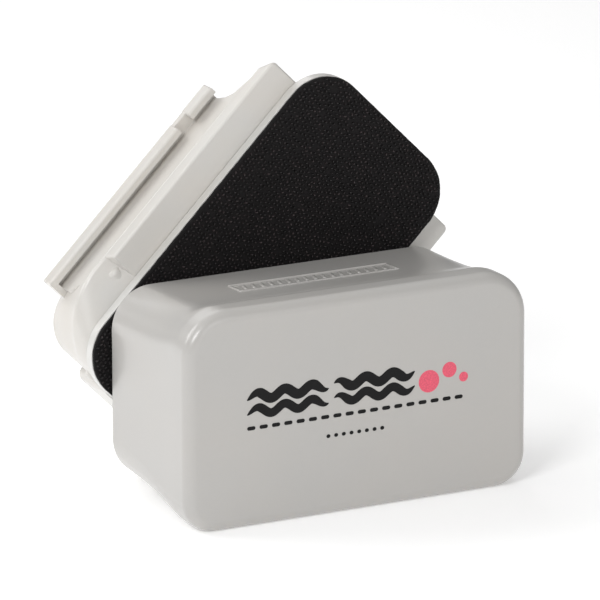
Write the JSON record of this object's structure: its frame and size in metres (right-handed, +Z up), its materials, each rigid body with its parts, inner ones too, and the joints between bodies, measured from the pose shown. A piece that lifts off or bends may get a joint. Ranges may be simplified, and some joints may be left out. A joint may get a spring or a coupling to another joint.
{
  "type": "magnetic aquarium glass cleaner",
  "caption": "Two-piece magnetic aquarium glass cleaner: waisted grip box with a felt face, and a floating half with a black hook scrubbing pad and a scraper rail, turned at 45 degrees.",
  "frame": {"origin": "middle of the bottom of the whole object's box, on the surface that the handle's front rim stands on", "axes": "+X along the handle to the viewer's right, +Y through the glass from the dry handle to the wet float, +Z up"},
  "size_m": [0.1436, 0.0922, 0.1402],
  "materials": {
    "handle_plastic": "satin moulded, light warm grey",
    "float_plastic": "satin moulded, slightly whiter warm grey",
    "inner_plastic": "moulded, hidden inside",
    "ferrite": "sintered ferrite magnet, dark grey",
    "keeper_steel": "zinc plated mild steel plate",
    "foam": "closed cell polyethylene foam",
    "felt": "pressed felt, pale grey",
    "hook_pad": "black moulded hook scrubbing pad",
    "adhesive": "thin clear-grey adhesive film",
    "sealant": "cured sealing adhesive",
    "print_ink": "printed ink, black",
    "print_accent": "printed ink, soft red"
  },
  "bodies": {
    "handle": {"handle_shell": "handle_plastic", "handle_base_cover": "handle_plastic", "handle_sealant_bead": "sealant", "handle_felt_adhesive": "adhesive", "handle_felt_pad": "felt", "handle_magnet_left": "ferrite", "handle_magnet_centre": "ferrite", "handle_magnet_right": "ferrite", "handle_magnet_carrier": "inner_plastic", "handle_keeper_plate": "keeper_steel", "handle_packing_foam": "foam"},
    "magnet_core": {"float_magnet_centre": "ferrite"},
    "float": {"float_shell": "float_plastic", "float_base_cover": "float_plastic", "float_sealant_bead": "sealant", "float_scrub_pad": "hook_pad", "float_pad_adhesive": "adhesive", "float_magnet_left": "ferrite", "float_magnet_right": "ferrite", "float_magnet_carrier": "inner_plastic", "float_keeper_plate": "keeper_steel", "float_buoyancy_foam": "foam"}
  },
  "joints": [
    {"name": "pull_off", "type": "slide", "parent": "handle", "child": "magnet_core", "axis": [0, 1, 0], "range_m": [0, 0.025]},
    {"name": "twist", "type": "hinge", "parent": "magnet_core", "child": "float", "pos_m": [0.00005, 0.03165, 0.0684], "axis": [0, 1, 0], "continuous": true}
  ]
}
